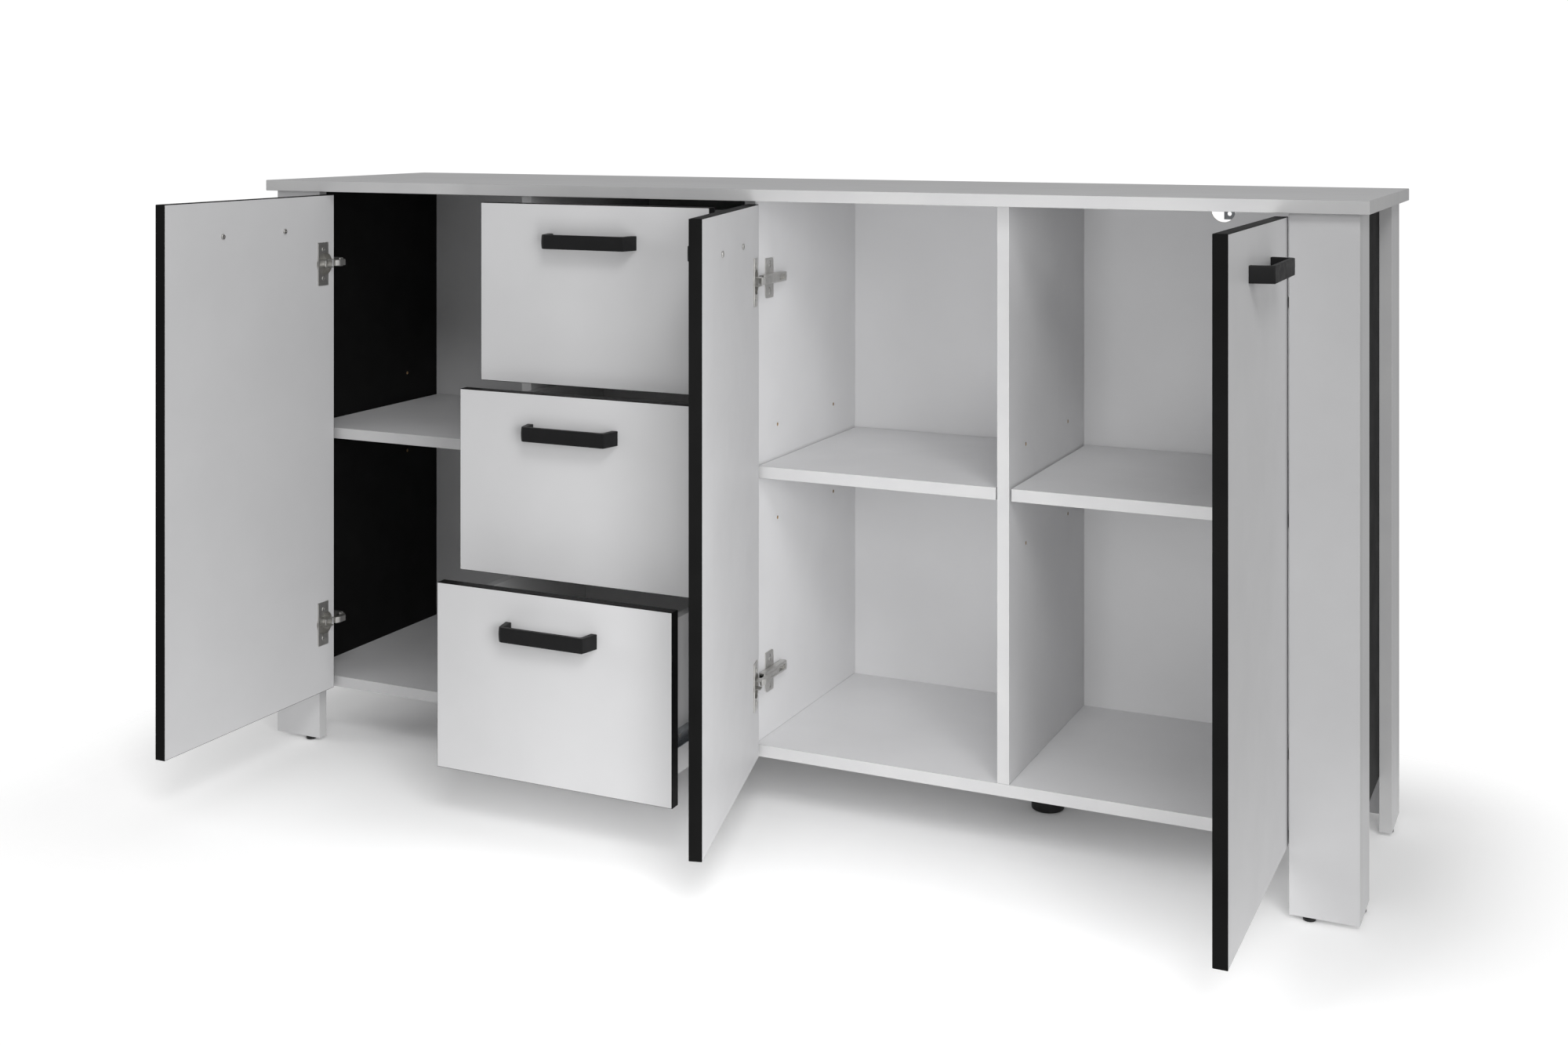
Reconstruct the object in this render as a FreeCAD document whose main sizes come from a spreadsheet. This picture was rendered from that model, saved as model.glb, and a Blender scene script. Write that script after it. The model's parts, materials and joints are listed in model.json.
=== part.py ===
# Sideboard with three hinged doors and a column of three drawers.
#
# Millimetres. +Z is up, the doors face -Y and +X is to the right of someone who stands in front.
# The origin is on the floor, under the middle of the four legs.
# The drawers and doors rest partly open; each moving body has its own frame below.

import FreeCAD, Part
import os
import re
import Sketcher

os.makedirs("parts", exist_ok=True)
doc = FreeCAD.newDocument("Sideboard")

# ---------------------------------------------------------------- driving sizes

SIZES = {
    # whole cabinet
    "overall_length": 1600,
    "overall_depth": 400,
    "overall_height": 840,
    "side_overhang": 12,
    "front_overhang": 12,
    "rear_overhang": 6,
    # boards
    "top_thickness": 16,
    "board_thickness": 16,
    "back_thickness": 3,
    "leg_width": 80,
    "underside_height": 80,
    "panel_drop": 4,
    # doors and drawer fronts
    "front_thickness": 16,
    "front_setback": 2,
    "front_reveal": 1,
    "front_gap": 3,
    "post_gap": 3,
    "top_gap": 5,
    "drawer_gap": 5,
    "left_door_angle": 90,
    "middle_door_angle": 75,
    "right_door_angle": 90,
    # shelves and their pins
    "shelf_top": 468,
    "shelf_play": 2,
    "shelf_setback": 2,
    "pin_diameter": 5,
    "pin_play": 0.1,
    "pin_grip": 7,
    "pin_reach": 7,
    "pin_hole_depth": 8,
    "pin_pitch": 64,
    "pin_front": 70,
    "pin_rear": 82,
    # concealed hinges
    "pivot_edge": 5,
    "pivot_depth": 5.5,
    "hinge_from_end": 102,
    "cup_diameter": 35,
    "cup_depth": 11.5,
    "cup_inset": 22,
    "cup_wall": 1,
    "cup_play": 0.1,
    "flange_inset": 14.4,
    "flange_width": 23.6,
    "flange_length": 64,
    "flange_thickness": 1.2,
    "lug_thickness": 1.5,
    "lug_play": 0.5,
    "lug_reach": 6.5,
    "lug_edge": 1.5,
    "lug_length": 14,
    "hook_height": 8.6,
    "hook_play": 2,
    "hook_thickness": 8,
    "arm_height": 13,
    "arm_depth": 9,
    "arm_clearance": 8,
    "arm_length": 77,
    "post_arm_length": 62,
    "plate_length": 54,
    "plate_width": 24,
    "plate_thickness": 2,
    "plate_setback": 29,
    "post_plate_offset": 4,
    "post_arm_offset": 4.5,
    # bar handles
    "handle_spacing": 128,
    "handle_length": 137,
    "handle_flare": 5.5,
    "handle_foot": 9,
    "handle_bar": 6,
    "handle_height": 19,
    "handle_projection": 27,
    "handle_bend": 7,
    "handle_inner_bend": 4,
    "handle_drop": 49,
    "screw_diameter": 4,
    "screw_play": 0.1,
    "screw_clearance": 1,
    "screw_grip": 8,
    "screw_head_diameter": 7.6,
    "screw_head_height": 2.4,
    # drawers
    "upper_drawer_out": 98,
    "middle_drawer_out": 147,
    "lower_drawer_out": 199,
    "drawer_board": 12,
    "drawer_depth": 320,
    "drawer_lift": 24,
    "drawer_drop": 21,
    "drawer_floor": 3,
    "floor_lift": 10,
    "groove_depth": 5,
    "groove_play": 0.5,
    # telescopic runners
    "runner_gap": 12.7,
    "runner_length": 300,
    "runner_lift": 73,
    "rail_height": 27,
    "rail_depth": 10,
    "rail_wall": 1.5,
    "slide_height": 18,
    "slide_play": 0.8,
    # feet and glides
    "glide_height": 5,
    "glide_diameter": 15,
    "glide_inset": 22,
    "foot_diameter": 44,
    "foot_base_height": 12,
    "foot_stem_diameter": 30,
    "foot_plate_diameter": 60,
    "foot_plate_height": 4,
    "foot_setback": 21,
    # wall brackets at the back
    "notch_radius": 17,
    "bracket_width": 15,
    "bracket_drop": 31,
    "bracket_thickness": 2,
    "bracket_offset": 5,
    "bracket_hole": 6,
    "bracket_hole_lift": 8,
    # dowels and nails
    "dowel_diameter": 8,
    "dowel_length": 30,
    "dowel_inset": 50,
    "nail_diameter": 1.6,
    "nail_length": 16,
    "nail_head_diameter": 6,
    "nail_head_height": 0.8,
    "nail_inset": 40,
}

sheet = doc.addObject("Spreadsheet::Sheet", "dims")
for row, (name, value) in enumerate(SIZES.items(), start=1):
    sheet.set(f"A{row}", name)
    sheet.set(f"B{row}", str(value))
    sheet.setAlias(f"B{row}", name)
doc.recompute()

# ---------------------------------------------------------------- places that follow from them

leg_outer = "(overall_length/2 - side_overhang)"
leg_inner = f"({leg_outer} - leg_width)"
panel_outer = f"({leg_outer} - board_thickness)"
panel_inner = f"({panel_outer} - board_thickness)"
leg_depth = "(overall_depth - front_overhang - rear_overhang)"
# The doors and the drawers share the width between the front legs in four equal columns.
column = f"({leg_inner}/2)"
side_door_width = f"({column} - post_gap - front_gap/2)"

# The origin is on the floor under the middle of the cabinet with its outer doors square open,
# so the legs stand behind it by half of what the doors reach out past the top's rear overhang.
open_reach = f"({side_door_width} - pivot_edge - pivot_depth)"
leg_centre = f"(({open_reach} - rear_overhang)/2)"
leg_front = f"({leg_centre} - {leg_depth}/2)"
leg_rear = f"({leg_centre} + {leg_depth}/2)"
panel_front = f"({leg_front} + board_thickness)"
# The carcass boards start behind the leg's face board or the doors, whichever is thicker.
front_line = "max(board_thickness; front_thickness)"
carcass_edge = f"({front_line} + front_setback)"
carcass_front = f"({leg_front} + {carcass_edge})"
back_rear = f"({leg_rear} - board_thickness)"
carcass_rear = f"({back_rear} - back_thickness)"
carcass_depth = f"({carcass_rear} - {carcass_front})"
top_under = "(overall_height - top_thickness)"
leg_height = f"({top_under} - glide_height)"
bottom_top = "(underside_height + board_thickness)"
upright_height = f"({top_under} - {bottom_top})"

column_inside = f"({column} - board_thickness)"
front_bottom = "(underside_height + front_reveal)"
front_height = f"({top_under} - top_gap - {front_bottom})"
handle_level = f"({front_bottom} + {front_height} - handle_drop)"
middle_door_width = f"({column} - front_gap)"

shelf_under = "(shelf_top - board_thickness)"
pin_level = f"({shelf_under} - pin_diameter/2 + pin_play/2)"
pin_rows = (f"{carcass_front} + pin_front", f"{carcass_rear} - pin_rear")

hinge_levels = (
    f"({front_bottom} + hinge_from_end)",
    f"({front_bottom} + {front_height} - hinge_from_end)",
)

# ---------------------------------------------------------------- drawing helpers

ALONG = {
    "X": FreeCAD.Rotation(FreeCAD.Vector(0, 1, 0), 90),
    "Y": FreeCAD.Rotation(FreeCAD.Vector(1, 0, 0), -90),
    "Z": FreeCAD.Rotation(),
}
FIXED = ("0", "0", "0", 0, "0")
nodes = []


def sized(text):
    # Each word that is a driving size becomes a reference to its cell.
    return re.sub(r"[a-z_]+", lambda word: "dims." + word[0] if word[0] in SIZES else word[0], text)


def bind(piece, place, text):
    piece.setExpression(place, sized(text))


def value_of(text):
    return float(sheet.evalExpression(sized(text)))


def move(piece, corner):
    for axis, text in zip("xyz", corner):
        bind(piece, "Placement.Base." + axis, text)
    return piece


def box(name, size, corner):
    piece = doc.addObject("Part::Box", name)
    for place, text in zip(("Length", "Width", "Height"), size):
        bind(piece, place, text)
    return move(piece, corner)


def cylinder(name, diameter, height, start, along="Z"):
    piece = doc.addObject("Part::Cylinder", name)
    piece.Placement = FreeCAD.Placement(FreeCAD.Vector(), ALONG[along])
    bind(piece, "Radius", f"({diameter})/2")
    bind(piece, "Height", height)
    return move(piece, start)


def group(name, pieces):
    piece = doc.addObject("Part::Compound", name)
    piece.Links = pieces
    return piece


def fused(name, pieces):
    piece = doc.addObject("Part::MultiFuse", name)
    piece.Shapes = pieces
    return piece


def cut(name, base, tools):
    piece = doc.addObject("Part::Cut", name)
    piece.Base = base
    piece.Tool = tools[0] if len(tools) == 1 else group(name + "_tools", tools)
    return piece


def mirrored(name, source):
    piece = doc.addObject("Part::Mirroring", name)
    piece.Source = source
    piece.Normal = FreeCAD.Vector(1, 0, 0)
    return piece


def seat(piece, frame):
    # A frame is an origin, the sense of its turn about +Z, and the angle of that turn.
    x, y, z, sense, angle = frame
    if sense:
        turn = FreeCAD.Rotation(FreeCAD.Vector(0, 0, sense), 1)
        piece.Placement = FreeCAD.Placement(FreeCAD.Vector(), turn)
        bind(piece, "Placement.Rotation.Angle", angle)
    return move(piece, (x, y, z))


def node(label, piece, frame=FIXED):
    if frame is not FIXED:
        seat(piece, frame)
    piece.Label = label
    nodes.append(piece)
    return piece


def padded(name, points, height):
    # A body whose outline lies in XY, every corner held by its two distances from the origin.
    body = doc.addObject("PartDesign::Body", name)
    sketch = body.newObject("Sketcher::SketchObject", name + "_outline")
    plane = next(item for item in body.Origin.OriginFeatures if item.Role == "XY_Plane")
    sketch.AttachmentSupport = (plane, [""])
    sketch.MapMode = "FlatFace"
    corners = [FreeCAD.Vector(value_of(x), value_of(y), 0) for x, y in points]
    count = len(points)
    for index in range(count):
        sketch.addGeometry(Part.LineSegment(corners[index], corners[(index + 1) % count]), False)
    for index in range(count):
        sketch.addConstraint(Sketcher.Constraint("Coincident", index, 2, (index + 1) % count, 1))
    for index, (point, corner) in enumerate(zip(points, corners)):
        for kind, text, value, axis in (
            ("DistanceX", point[0], corner.x, -2),
            ("DistanceY", point[1], corner.y, -1),
        ):
            if text == "0":
                sketch.addConstraint(Sketcher.Constraint("PointOnObject", index, 1, axis))
                continue
            held = sketch.addConstraint(Sketcher.Constraint(kind, -1, 1, index, 1, value))
            bind(sketch, f"Constraints[{held}]", text)
    pad = body.newObject("PartDesign::Pad", name + "_pad")
    pad.Profile = sketch
    bind(pad, "Length", height)
    body.Tip = pad
    sketch.Visibility = False
    return body, pad


def upright_edges(shape, chosen):
    # Names of the vertical edges whose place in plan satisfies chosen(x, y).
    names = []
    for index, edge in enumerate(shape.Edges, start=1):
        low, high = edge.Vertexes[0].Point, edge.Vertexes[-1].Point
        if abs(low.x - high.x) + abs(low.y - high.y) < 0.001 and chosen(low.x, low.y):
            names.append(f"Edge{index}")
    return names


def rounded(body, base, name, radius, chosen):
    doc.recompute()
    fillet = body.newObject("PartDesign::Fillet", name)
    fillet.Base = (base, upright_edges(base.Shape, chosen))
    bind(fillet, "Radius", radius)
    body.Tip = fillet
    return fillet


# ---------------------------------------------------------------- carcass boards

node("top_board", box(
    "top",
    ("overall_length", "overall_depth", "top_thickness"),
    ("-overall_length/2", f"{leg_front} - front_overhang", top_under),
))


def pin_holes(name, face, inward):
    # Two rows of three blind holes in a face that looks along +X or -X.
    start = face if inward > 0 else f"{face} - pin_hole_depth"
    return [
        cylinder(f"{name}_{row}_{step}", "pin_diameter", "pin_hole_depth",
                 (start, place, f"{pin_level} + {step - 1}*pin_pitch"), "X")
        for row, place in enumerate(pin_rows)
        for step in range(3)
    ]


def side_panel(name):
    board = box(
        name + "_board",
        ("board_thickness", f"{carcass_rear} - {panel_front}", f"{top_under} - underside_height + panel_drop"),
        (f"-{panel_outer}", panel_front, "underside_height - panel_drop"),
    )
    return cut(name, board, pin_holes(name + "_hole", f"-{panel_inner}", -1))


node("left_side_panel", side_panel("left_side"))
node("right_side_panel", mirrored("right_side", side_panel("right_side_source")))

node("bottom_board", box(
    "bottom",
    (f"2*{panel_inner}", carcass_depth, "board_thickness"),
    (f"-{panel_inner}", carcass_front, "underside_height"),
))


def partition(label, centre, holes_left, holes_right):
    left_face = f"{centre} - board_thickness/2"
    right_face = f"{centre} + board_thickness/2"
    board = box(
        label + "_board",
        ("board_thickness", carcass_depth, upright_height),
        (left_face, carcass_front, bottom_top),
    )
    holes = []
    if holes_left:
        holes += pin_holes(label + "_left_hole", left_face, 1)
    if holes_right:
        holes += pin_holes(label + "_right_hole", right_face, -1)
    node(label, cut(label, board, holes))


partition("left_partition", f"-{column}", True, False)
partition("middle_partition", "0", False, True)
partition("right_partition", column, True, True)

# The two notches at the top edge let the wall brackets be reached from inside.
outer_bay_centre = f"(({panel_inner} + {column} + board_thickness/2)/2)"
back_board = box(
    "back_board",
    (f"2*{panel_outer}", "back_thickness", f"{top_under} - underside_height"),
    (f"-{panel_outer}", carcass_rear, "underside_height"),
)
notches = []
for side in ("-", ""):
    centre = side + outer_bay_centre
    notches.append(fused(f"notch{side}", [
        cylinder("notch_round", "2*notch_radius", "back_thickness",
                 (centre, carcass_rear, f"{top_under} - notch_radius"), "Y"),
        box("notch_mouth", ("2*notch_radius", "back_thickness", "notch_radius"),
            (f"{centre} - notch_radius", carcass_rear, f"{top_under} - notch_radius")),
    ]))
node("back_panel", cut("back", back_board, notches))


def shelf(label, left_face, right_face):
    node(label, box(
        label,
        (f"{right_face} - {left_face} - 2*shelf_play",
         f"{carcass_depth} - 2*shelf_setback", "board_thickness"),
        (f"{left_face} + shelf_play", f"{carcass_front} + shelf_setback", shelf_under),
    ))


bays = {
    "left": (f"(-{panel_inner})", f"(-{column} - board_thickness/2)"),
    "middle": ("(board_thickness/2)", f"({column} - board_thickness/2)"),
    "right": (f"({column} + board_thickness/2)", panel_inner),
}
for bay, faces in bays.items():
    shelf(f"{bay}_shelf", *faces)

pins = []
for bay, (left_face, right_face) in bays.items():
    for row, place in enumerate(pin_rows):
        for start in (f"{left_face} - pin_grip", f"{right_face} - pin_reach"):
            pins.append(cylinder(f"{bay}_pin_{row}", "pin_diameter - pin_play", "pin_grip + pin_reach",
                                 (start, place, pin_level), "X"))
node("shelf_pins", group("pins", pins))

# ---------------------------------------------------------------- legs, glides and feet


def leg(name, rear):
    # Two boards at a right angle: one faces front or back, the other covers the side panel's edge.
    face_y = f"{leg_rear} - board_thickness" if rear else leg_front
    side_y = f"{leg_rear} - leg_width" if rear else f"{leg_front} + board_thickness"
    return group(name, [
        box(name + "_face", ("leg_width", "board_thickness", leg_height),
            (f"-{leg_outer}", face_y, "glide_height")),
        box(name + "_side", ("board_thickness", "leg_width - board_thickness", leg_height),
            (f"-{leg_outer}", side_y, "glide_height")),
    ])


for end, rear in (("front", False), ("rear", True)):
    node(f"{end}_left_leg", leg(f"{end}_left", rear))
    node(f"{end}_right_leg", mirrored(f"{end}_right", leg(f"{end}_right_source", rear)))

glides = []
for side in ("-", ""):
    for edge, inward in ((leg_front, "+"), (leg_rear, "-")):
        for x, y in (
            (f"{side}({leg_inner} + glide_inset)", f"{edge} {inward} board_thickness/2"),
            (f"{side}({leg_outer} - board_thickness/2)", f"{edge} {inward} (leg_width - glide_inset)"),
        ):
            glides.append(cylinder("glide", "glide_diameter", "glide_height", (x, y, "0")))
node("leg_glides", group("glides", glides))

feet = []
for side in ("-", ""):
    centre = (side + column, f"{leg_centre} + foot_setback")
    feet.append(fused("foot", [
        cylinder("foot_base", "foot_diameter", "foot_base_height", (*centre, "0")),
        cylinder("foot_stem", "foot_stem_diameter", "underside_height", (*centre, "0")),
        cylinder("foot_plate", "foot_plate_diameter", "foot_plate_height",
                 (*centre, "underside_height - foot_plate_height")),
    ]))
node("centre_feet", group("centre_feet_pair", feet))

# ---------------------------------------------------------------- doors


def cup_place(level, extra="0"):
    return ("cup_inset - pivot_edge", f"front_thickness - cup_depth - pivot_depth + {extra}", level)


def hinge_cup(name, level):
    # A pressed cup with a flange on the door's inner face and two lugs that stand out of it.
    outside = fused(name + "_outside", [
        cylinder(name + "_wall", "cup_diameter - 2*cup_play", "cup_depth", cup_place(level), "Y"),
        box(name + "_flange", ("flange_width", "flange_thickness", "flange_length"),
            ("flange_inset - pivot_edge", "front_thickness - pivot_depth", f"{level} - flange_length/2")),
    ])
    hollow = cylinder(name + "_hollow", "cup_diameter - 2*cup_play - 2*cup_wall",
                      "cup_depth + flange_thickness", cup_place(level, "cup_wall"), "Y")
    shell = cut(name + "_shell", outside, [hollow])
    half = "(hook_height/2 + lug_play)"
    lug_start = "board_thickness/2 - front_gap/2 + lug_edge - pivot_edge"  # clear of the partition
    lugs = [
        box(f"{name}_lug{low}", ("lug_length", "cup_depth + lug_reach - cup_wall/2", "lug_thickness"),
            (lug_start, "front_thickness - cup_depth + cup_wall/2 - pivot_depth", low))
        for low in (f"{level} + {half}", f"{level} - {half} - lug_thickness")
    ]
    return fused(name, [shell] + lugs)


def handle(name):
    # A flat bar whose ends turn back to the front at a slight flare.
    far = "handle_length"
    outline = (
        ("0", "handle_projection"),
        ("handle_flare", "0"),
        (f"{far} - handle_flare", "0"),
        (far, "handle_projection"),
        (f"{far} - handle_foot", "handle_projection"),
        (f"{far} - handle_flare - handle_bar", "handle_bar"),
        ("handle_flare + handle_bar", "handle_bar"),
        ("handle_foot", "handle_projection"),
    )
    body, pad = padded(name, outline, "handle_height")
    front = value_of("handle_bar")
    outer = rounded(body, pad, name + "_bends", "handle_bend", lambda x, y: y < front/2)
    rounded(body, outer, name + "_inner_bends", "handle_inner_bend", lambda x, y: abs(y - front) < 0.001)
    return body


def drilled_handle(name, corner):
    # The handle in place, with a blind hole for a screw in each foot.
    bar = move(handle(name + "_bar"), corner)
    x, y, z = corner
    holes = [
        cylinder(f"{name}_hole", "screw_diameter + screw_play", "screw_grip",
                 (f"{x} + handle_length/2 {sign} handle_spacing/2",
                  f"{y} + handle_projection - screw_grip", f"{z} + handle_height/2"), "Y")
        for sign in "-+"
    ]
    return cut(name, bar, holes)


def handle_screws(name, centre, face, level, thickness):
    # Pan head on the inner face, shank through the front and into the handle's foot.
    screws = []
    for sign in "-+":
        x = f"{centre} {sign} handle_spacing/2"
        screws.append(fused(name + "_screw", [
            cylinder(name + "_shank", "screw_diameter", f"{thickness} + screw_grip",
                     (x, f"{face} - screw_grip", level), "Y"),
            cylinder(name + "_head", "screw_head_diameter", "screw_head_height",
                     (x, f"{face} + {thickness}", level), "Y"),
        ]))
    return group(name, screws)


def front_holes(name, centre, face, level):
    return [
        cylinder(name, "screw_diameter + screw_clearance", "front_thickness",
                 (f"{centre} {sign} handle_spacing/2", face, level), "Y")
        for sign in "-+"
    ]


def door(name, width, frame, right_hand=False):
    # Drawn as a left-hand door whose hinge axis is the local origin; a right-hand one is its mirror.
    face = "(-pivot_depth)"
    centre = f"({width}/2 - pivot_edge)"
    board = box(name + "_board", (width, "front_thickness", front_height),
                ("-pivot_edge", "-pivot_depth", front_bottom))
    cup_holes = [
        cylinder(name + "_cup_hole", "cup_diameter", "cup_depth", cup_place(level), "Y")
        for level in hinge_levels
    ]
    corner = (f"{centre} - handle_length/2", f"{face} - handle_projection", f"{handle_level} - handle_height/2")
    pieces = {
        f"{name}_panel": cut(name + "_drilled", board,
                             cup_holes + front_holes(name + "_screw_hole", centre, face, handle_level)),
        f"{name}_handle": drilled_handle(name + "_grip", corner),
        f"{name}_handle_screws": handle_screws(name + "_screws", centre, face, handle_level, "front_thickness"),
        f"{name}_hinge_cups": group(name + "_cups", [
            hinge_cup(f"{name}_cup_{index}", level) for index, level in enumerate(hinge_levels)
        ]),
    }
    for label, piece in pieces.items():
        node(label, mirrored(label + "_mirror", piece) if right_hand else piece, frame)


def closed_edge(side):
    # X of the closed door's hinge edge.
    return {
        "left": f"(-{leg_inner} + post_gap)",
        "middle": "(front_gap/2)",
        "right": f"({leg_inner} - post_gap)",
    }[side]


def door_frame(side):
    offset = "- pivot_edge" if side == "right" else "+ pivot_edge"
    sense = 1 if side == "right" else -1
    return (f"{closed_edge(side)} {offset}", f"{leg_front} + pivot_depth", "0", sense, f"{side}_door_angle")


door("left_door", side_door_width, door_frame("left"))
door("middle_door", middle_door_width, door_frame("middle"))
door("right_door", side_door_width, door_frame("right"), right_hand=True)

# ---------------------------------------------------------------- hinge arms and mounting plates

# Seen from above with the door closed, measured from its hinge edge and its front face.
door_inside = "(front_thickness - pivot_depth + pivot_edge)"
arm_front = "(front_thickness + arm_clearance)"
hook_inner = f"({door_inside} + hook_play)"
hook_outer = f"({hook_inner} + hook_thickness)"
hook_tip = "(front_thickness - cup_depth + 2*cup_wall)"


def hook(name, level):
    # The gooseneck that dips into the cup when the door shuts.
    outline = (
        (f"{hook_inner} - hook_thickness", arm_front),
        (f"{hook_inner} - hook_thickness", f"{arm_front} + arm_depth"),
        (hook_inner, f"{arm_front} + arm_depth"),
        (hook_outer, f"{arm_front} + 1"),
        (hook_outer, f"{hook_tip} + 6"),
        (f"{hook_inner} + hook_thickness/2", hook_tip),
        (f"{hook_inner} + 1", hook_tip),
        (hook_inner, f"{hook_tip} + 4"),
        (hook_inner, f"{arm_front} - 2"),
        (f"{hook_inner} - 2", arm_front),
    )
    body, _ = padded(name, outline, "hook_height")
    return move(body, ("0", "0", f"{level} - hook_height/2"))


def partition_hinge(name, level):
    # The arm runs back along the partition.
    face = "(board_thickness/2 - front_gap/2)"
    seat_x = f"({face} + plate_thickness)"
    arm = fused(name + "_arm", [
        hook(name + "_hook", level),
        box(name + "_channel",
            (f"{hook_inner} - {seat_x}", f"{carcass_edge} + arm_length - {arm_front}", "arm_height"),
            (seat_x, arm_front, f"{level} - arm_height/2")),
    ])
    plate = box(name + "_plate", ("plate_thickness", "plate_width", "plate_length"),
                (face, f"{carcass_edge} + plate_setback", f"{level} - plate_length/2"))
    return arm, plate


def post_hinge(name, level):
    # The arm runs sideways behind the front leg, parallel to the closed door.
    spacer = f"({arm_front} - board_thickness)"
    side_face = "(-post_gap - leg_width + 2*board_thickness)"
    plate_x = f"({side_face} + post_plate_offset)"
    arm_end = f"({side_face} + post_arm_offset)"
    # The channel starts clear of the side panel, and a neck inside it ties it to the hook.
    arm = fused(name + "_arm", [
        hook(name + "_hook", level),
        box(name + "_neck", (f"{hook_inner} - 2 - {arm_end}", "arm_depth", "hook_height"),
            (arm_end, arm_front, f"{level} - hook_height/2")),
        box(name + "_channel", ("post_arm_length", "arm_depth", "arm_height"),
            (arm_end, arm_front, f"{level} - arm_height/2")),
    ])
    plate = box(name + "_plate", ("plate_width", spacer, "plate_length"),
                (plate_x, "board_thickness", f"{level} - plate_length/2"))
    return arm, plate


arms = []
plates = []
for side, build in (("left", post_hinge), ("middle", partition_hinge), ("right", post_hinge)):
    for index, level in enumerate(hinge_levels):
        arm, plate = build(f"{side}_hinge_{index}", level)
        if side == "right":
            arm = mirrored(f"right_arm_{index}", arm)
            plate = mirrored(f"right_plate_{index}", plate)
        frame = (closed_edge(side), leg_front, "0", 0, "0")
        arms.append(seat(group(f"{side}_arm_{index}_seat", [arm]), frame))
        plates.append(seat(group(f"{side}_plate_{index}_seat", [plate]), frame))
node("hinge_arms", group("all_arms", arms))
node("hinge_plates", group("all_plates", plates))

# ---------------------------------------------------------------- drawers and runners

drawer_front_height = f"(({front_height} - 2*drawer_gap)/3)"
bay_left = f"(-{column} + board_thickness/2)"
bay_centre = f"(-{column}/2)"
box_width = f"({column_inside} - 2*runner_gap)"
box_left = f"({bay_left} + runner_gap)"
box_front = f"({leg_front} + front_thickness)"
side_height = f"({drawer_front_height} - drawer_lift - drawer_drop)"
inside_width = f"({box_width} - 2*drawer_board)"
floor_width = f"({inside_width} + 2*groove_depth - 2*groove_play)"
floor_depth = "(drawer_depth - drawer_board + groove_depth - groove_play)"
rails = []


def drawer(name, step):
    low = f"({front_bottom} + {step}*({drawer_front_height} + drawer_gap))"
    side_low = f"({low} + drawer_lift)"
    floor_low = f"({side_low} + floor_lift)"
    level = f"({low} + {drawer_front_height} - handle_drop)"
    runner_low = f"({low} + runner_lift)"
    frame = ("0", f"-{name}_out", "0", 0, "0")

    front = box(name + "_board", (middle_door_width, "front_thickness", drawer_front_height),
                (f"-{column} + front_gap/2", leg_front, low))
    node(f"{name}_front", cut(name + "_face", front,
                              front_holes(name + "_screw_hole", bay_centre, leg_front, level)), frame)

    # The sides and the back are grooved for the floor, which slides in from the front.
    groove = box(name + "_groove",
                 (f"{inside_width} + 2*groove_depth", f"{floor_depth} + groove_play", "drawer_floor"),
                 (f"{box_left} + drawer_board - groove_depth", box_front, floor_low))
    side_left = box(name + "_left_board", ("drawer_board", "drawer_depth", side_height),
                    (box_left, box_front, side_low))
    side_right = box(name + "_right_board", ("drawer_board", "drawer_depth", side_height),
                     (f"{box_left} + {box_width} - drawer_board", box_front, side_low))
    back = box(name + "_back_board", (inside_width, "drawer_board", side_height),
               (f"{box_left} + drawer_board", f"{box_front} + drawer_depth - drawer_board", side_low))
    node(f"{name}_left_side", cut(name + "_left", side_left, [groove]), frame)
    node(f"{name}_right_side", cut(name + "_right", side_right, [groove]), frame)
    node(f"{name}_back", cut(name + "_rear", back, [groove]), frame)
    node(f"{name}_floor", group(name + "_floor_seat", [
        box(name + "_floor_board", (floor_width, floor_depth, "drawer_floor"),
            (f"{box_left} + drawer_board - groove_depth + groove_play", box_front, floor_low)),
    ]), frame)

    corner = (f"{bay_centre} - handle_length/2", f"{leg_front} - handle_projection",
              f"{level} - handle_height/2")
    node(f"{name}_handle", drilled_handle(name + "_grip", corner), frame)
    node(f"{name}_handle_screws",
         handle_screws(name + "_screws", bay_centre, leg_front, level, "front_thickness"), frame)

    # Each runner is a rail on the partition and a slide on the drawer's side.
    slides = []
    for hand in (-1, 1):
        wall = bay_left if hand < 0 else f"({bay_left} + {column_inside})"
        rail_x = wall if hand < 0 else f"{wall} - rail_depth"
        mouth_x = f"{wall} + rail_wall" if hand < 0 else f"{wall} - rail_depth"
        slide_depth = "(runner_gap - rail_wall - slide_play)"
        slide_x = f"{wall} + rail_wall + slide_play" if hand < 0 else f"{wall} - runner_gap"
        rail = box(name + "_rail", ("rail_depth", "runner_length", "rail_height"),
                   (rail_x, f"{carcass_front} + front_setback", f"{runner_low} - rail_height/2"))
        mouth = box(name + "_mouth", ("rail_depth - rail_wall", "runner_length", "rail_height - 2*rail_wall"),
                    (mouth_x, f"{carcass_front} + front_setback", f"{runner_low} - rail_height/2 + rail_wall"))
        rails.append(cut(name + "_channel", rail, [mouth]))
        slides.append(box(name + "_slide", (slide_depth, "runner_length", "slide_height"),
                          (slide_x, box_front, f"{runner_low} - slide_height/2")))
    node(f"{name}_slides", group(name + "_slide_pair", slides), frame)


for step, name in enumerate(("lower_drawer", "middle_drawer", "upper_drawer")):
    drawer(name, step)
node("drawer_rails", group("rails", rails))

# ---------------------------------------------------------------- brackets, dowels and nails

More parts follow.
